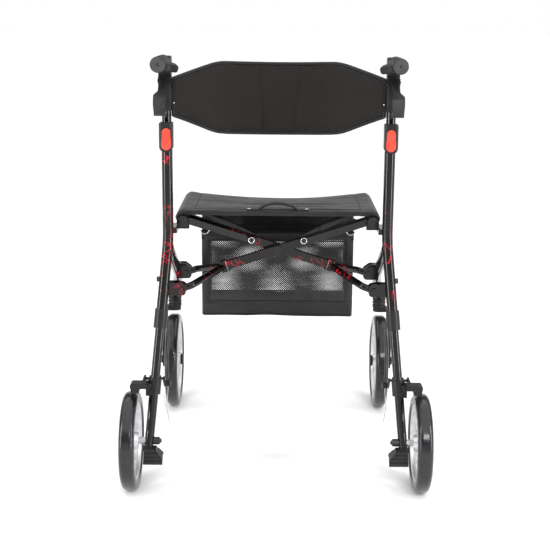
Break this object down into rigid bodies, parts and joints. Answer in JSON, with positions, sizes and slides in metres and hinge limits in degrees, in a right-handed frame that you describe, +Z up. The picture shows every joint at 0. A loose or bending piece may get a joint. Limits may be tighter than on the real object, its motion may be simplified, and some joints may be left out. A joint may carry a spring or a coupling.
{
  "type": "rollator walker",
  "caption": "Folding rolling walker with a sling seat, curved padded backrest, mesh shopping bag, height-adjustable handles with brakes, and swivelling front casters.",
  "frame": {"origin": "on the floor, midway between the left and right sides and midway between the rearmost and foremost tyre points", "axes": "+Z up, +Y the way the walker is pushed, +X to the user's right; left and right are the user's"},
  "size_m": [0.634, 0.746, 0.8825],
  "materials": {
    "marbled_tube": "gloss black with crimson streaks",
    "black_tube": "gloss",
    "handle_metal": "satin",
    "plastic": "matte",
    "button_plastic": "satin",
    "grip_rubber": "matte",
    "cap_plastic": "satin",
    "cable_jacket": "satin",
    "steel": "bright zinc",
    "tyre": "satin polyurethane",
    "rim_plastic": "satin silver",
    "nylon": "woven nylon",
    "mesh_fabric": "spacer mesh"
  },
  "bodies": {
    "frame_left": {"side_tube_left": "marbled_tube", "front_leg_left": "black_tube", "rear_leg_left": "black_tube", "leg_collar_left": "plastic", "caster_head_left": "plastic", "frame_brackets_left": "marbled_tube", "height_clamp_left": "plastic", "rear_axle_left": "steel", "tipping_pedal_left": "plastic", "brake_bracket_left": "plastic", "lower_cable_left": "cable_jacket"},
    "handle_left": {"handle_tube_left": "handle_metal", "handle_body_left": "plastic", "grip_left": "grip_rubber", "grip_cap_left": "cap_plastic", "upper_cable_left": "cable_jacket", "backrest": "mesh_fabric"},
    "height_button_left": {"height_button_left": "button_plastic"},
    "brake_lever_left": {"brake_lever_left": "plastic"},
    "brake_arm_left": {"brake_arm_left": "plastic"},
    "rear_wheel_left": {"rear_tyre_left": "tyre", "rear_rim_left": "rim_plastic"},
    "caster_left": {"caster_fork_left": "plastic"},
    "front_wheel_left": {"front_tyre_left": "tyre", "front_rim_left": "rim_plastic"},
    "frame_right": {"side_tube_right": "marbled_tube", "front_leg_right": "black_tube", "rear_leg_right": "black_tube", "leg_collar_right": "plastic", "caster_head_right": "plastic", "frame_brackets_right": "marbled_tube", "height_clamp_right": "plastic", "rear_axle_right": "steel", "tipping_pedal_right": "plastic", "brake_bracket_right": "plastic", "lower_cable_right": "cable_jacket"},
    "handle_right": {"handle_tube_right": "handle_metal", "handle_body_right": "plastic", "grip_right": "grip_rubber", "grip_cap_right": "cap_plastic", "upper_cable_right": "cable_jacket"},
    "height_button_right": {"height_button_right": "button_plastic"},
    "brake_lever_right": {"brake_lever_right": "plastic"},
    "brake_arm_right": {"brake_arm_right": "plastic"},
    "rear_wheel_right": {"rear_tyre_right": "tyre", "rear_rim_right": "rim_plastic"},
    "caster_right": {"caster_fork_right": "plastic"},
    "front_wheel_right": {"front_tyre_right": "tyre", "front_rim_right": "rim_plastic"},
    "brace_a": {"cross_bar_a": "marbled_tube", "support_arm_a": "black_tube", "seat_rail_right": "black_tube", "cross_bolt": "steel"},
    "brace_b": {"cross_bar_b": "marbled_tube", "support_arm_b": "black_tube", "seat_rail_left": "black_tube", "seat": "nylon", "carry_strap": "nylon"},
    "bag": {"mesh_bag": "mesh_fabric", "bag_rings": "steel"}
  },
  "joints": [
    {"name": "fold", "type": "hinge", "parent": "frame_left", "child": "brace_a", "pos_m": [-0.2, -0.1105, 0.405], "axis": [0, -1, 0], "range_deg": [0, 50], "deforming": ["backrest"]},
    {"name": "cross_pivot", "type": "hinge", "parent": "brace_a", "child": "brace_b", "pos_m": [0, -0.0865, 0.471], "axis": [0, -1, 0], "range_deg": [-100, 0], "deforming": ["seat", "carry_strap"]},
    {"name": "frame_pivot", "type": "hinge", "parent": "brace_b", "child": "frame_right", "pos_m": [0.2, -0.1105, 0.405], "axis": [0, -1, 0], "range_deg": [0, 50]},
    {"name": "bag_hang", "type": "hinge", "parent": "brace_b", "child": "bag", "pos_m": [-0.2, 0.0165, 0.537], "axis": [0, -1, 0], "range_deg": [0, 50], "deforming": ["mesh_bag", "bag_rings"]},
    {"name": "handle_height_left", "type": "slide", "parent": "frame_left", "child": "handle_left", "axis": [0, 0, 1], "range_m": [0, 0.1]},
    {"name": "button_press_left", "type": "slide", "parent": "frame_left", "child": "height_button_left", "axis": [0, 1, 0], "range_m": [0, 0.003], "stiffness_N_per_m": 1200, "springref_m": -0.002},
    {"name": "brake_squeeze_left", "type": "hinge", "parent": "handle_left", "child": "brake_lever_left", "pos_m": [-0.228, -0.2055, 0.832], "axis": [-1, 0, 0], "range_deg": [0, 18], "stiffness_Nm_per_rad": 1.5, "springref_deg": -11.46},
    {"name": "brake_shoe_left", "type": "hinge", "parent": "frame_left", "child": "brake_arm_left", "pos_m": [-0.26, -0.2285, 0.222], "axis": [1, 0, 0], "range_deg": [0, 5]},
    {"name": "rear_wheel_spin_left", "type": "hinge", "parent": "frame_left", "child": "rear_wheel_left", "pos_m": [-0.298, -0.2715, 0.1015], "axis": [1, 0, 0], "continuous": true},
    {"name": "caster_swivel_left", "type": "hinge", "parent": "frame_left", "child": "caster_left", "pos_m": [-0.256, 0.2885, 0.27], "axis": [0, 0, 1], "continuous": true},
    {"name": "front_wheel_spin_left", "type": "hinge", "parent": "caster_left", "child": "front_wheel_left", "pos_m": [-0.256, 0.2585, 0.1145], "axis": [1, 0, 0], "continuous": true},
    {"name": "handle_height_right", "type": "slide", "parent": "frame_right", "child": "handle_right", "axis": [0, 0, 1], "range_m": [0, 0.1]},
    {"name": "button_press_right", "type": "slide", "parent": "frame_right", "child": "height_button_right", "axis": [0, 1, 0], "range_m": [0, 0.003], "stiffness_N_per_m": 1200, "springref_m": -0.002},
    {"name": "brake_squeeze_right", "type": "hinge", "parent": "handle_right", "child": "brake_lever_right", "pos_m": [0.228, -0.2055, 0.832], "axis": [-1, 0, 0], "range_deg": [0, 18], "stiffness_Nm_per_rad": 1.5, "springref_deg": -11.46},
    {"name": "brake_shoe_right", "type": "hinge", "parent": "frame_right", "child": "brake_arm_right", "pos_m": [0.26, -0.2285, 0.222], "axis": [1, 0, 0], "range_deg": [0, 5]},
    {"name": "rear_wheel_spin_right", "type": "hinge", "parent": "frame_right", "child": "rear_wheel_right", "pos_m": [0.298, -0.2715, 0.1015], "axis": [1, 0, 0], "continuous": true},
    {"name": "caster_swivel_right", "type": "hinge", "parent": "frame_right", "child": "caster_right", "pos_m": [0.256, 0.2885, 0.27], "axis": [0, 0, 1], "continuous": true},
    {"name": "front_wheel_spin_right", "type": "hinge", "parent": "caster_right", "child": "front_wheel_right", "pos_m": [0.256, 0.2585, 0.1145], "axis": [1, 0, 0], "continuous": true}
  ],
  "couplings": [
    {"joint": "cross_pivot", "follows": "fold", "ratio": -2},
    {"joint": "frame_pivot", "follows": "fold", "ratio": 1},
    {"joint": "bag_hang", "follows": "fold", "ratio": 1},
    {"joint": "handle_height_right", "follows": "handle_height_left", "ratio": 1},
    {"joint": "brake_shoe_left", "follows": "brake_squeeze_left", "ratio": 0.2777},
    {"joint": "brake_shoe_right", "follows": "brake_squeeze_right", "ratio": 0.2777}
  ]
}
